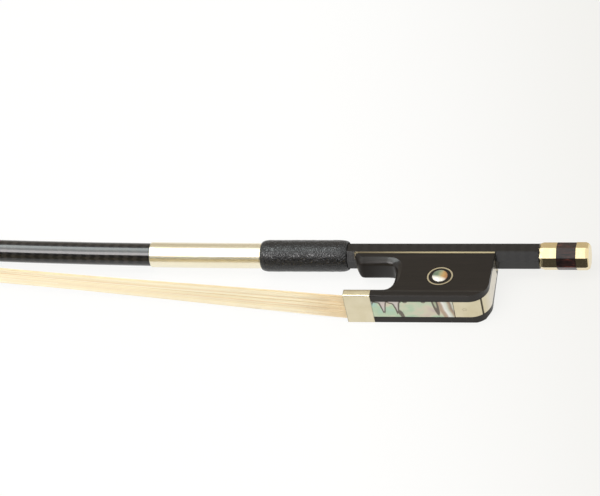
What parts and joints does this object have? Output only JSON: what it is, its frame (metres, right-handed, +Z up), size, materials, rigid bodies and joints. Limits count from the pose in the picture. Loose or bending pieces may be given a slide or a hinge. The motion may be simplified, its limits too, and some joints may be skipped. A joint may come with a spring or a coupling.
{
  "type": "cello bow",
  "caption": "Cello bow: carbon stick, ebony frog with pearl eyes and slide, horsehair ribbon, leather grip, and a screw button that draws the frog back to tighten the hair.",
  "frame": {"origin": "under the middle of the bow's box, on the surface that it lies on, on its side", "axes": "+X along the handle towards the screw button, +Y away from the hair, +Z up, out of the side of the frog"},
  "size_m": [0.7078, 0.0942, 0.0147],
  "materials": {
    "carbon": "clear-coated carbon twill",
    "ebony": "polished ebony",
    "pale_metal": "polished pale gold nickel silver",
    "wire": "close-wound pale gold wire",
    "steel": "turned steel",
    "brass": "plain brass",
    "leather": "black grained leather",
    "horsehair": "cream horsehair",
    "abalone": "polished abalone shell",
    "pearl": "polished pearl shell",
    "tip_resin": "polished ivory-coloured resin",
    "maple": "raw maple",
    "thread": "waxed thread",
    "rosewood": "polished dark red-brown wood"
  },
  "bodies": {
    "stick": {"stick": "carbon", "rear_bush": "brass", "front_bush": "brass", "winding": "wire", "thumb_grip": "leather", "tip_liner": "ebony", "tip_plate": "tip_resin", "tip_hair_knot": "thread", "tip_plug": "maple", "hair_ribbon": "horsehair"},
    "frog": {"frog": "ebony", "underslide": "pale_metal", "underslide_pin_front": "pale_metal", "underslide_pin_rear": "pale_metal", "ferrule": "pale_metal", "ferrule_wedge": "maple", "pearl_slide": "abalone", "slide_back": "ebony", "heel_plate": "pale_metal", "back_plate": "pale_metal", "heel_plate_pin": "pale_metal", "back_plate_pin": "pale_metal", "eye_ring_left": "pale_metal", "eye_pearl_left": "pearl", "eye_ring_right": "pale_metal", "eye_pearl_right": "pearl", "frog_hair_knot": "thread", "frog_plug": "maple", "eyelet": "brass"},
    "screw": {"screw": "steel", "button_core": "rosewood", "button_front_ring": "pale_metal", "button_rear_ring": "pale_metal"}
  },
  "joints": [
    {"name": "screw_turn", "type": "hinge", "parent": "stick", "child": "screw", "pos_m": [0.33558, -0.02072, 0.00735], "axis": [-1, 0, 0], "range_deg": [-900, 4800]},
    {"name": "frog_slide", "type": "slide", "parent": "stick", "child": "frog", "axis": [1, 0, 0], "range_m": [-0.0015, 0.008], "deforming": ["hair_ribbon"]}
  ],
  "couplings": [
    {"joint": "screw_turn", "follows": "frog_slide", "rad_per_m": 10472}
  ]
}
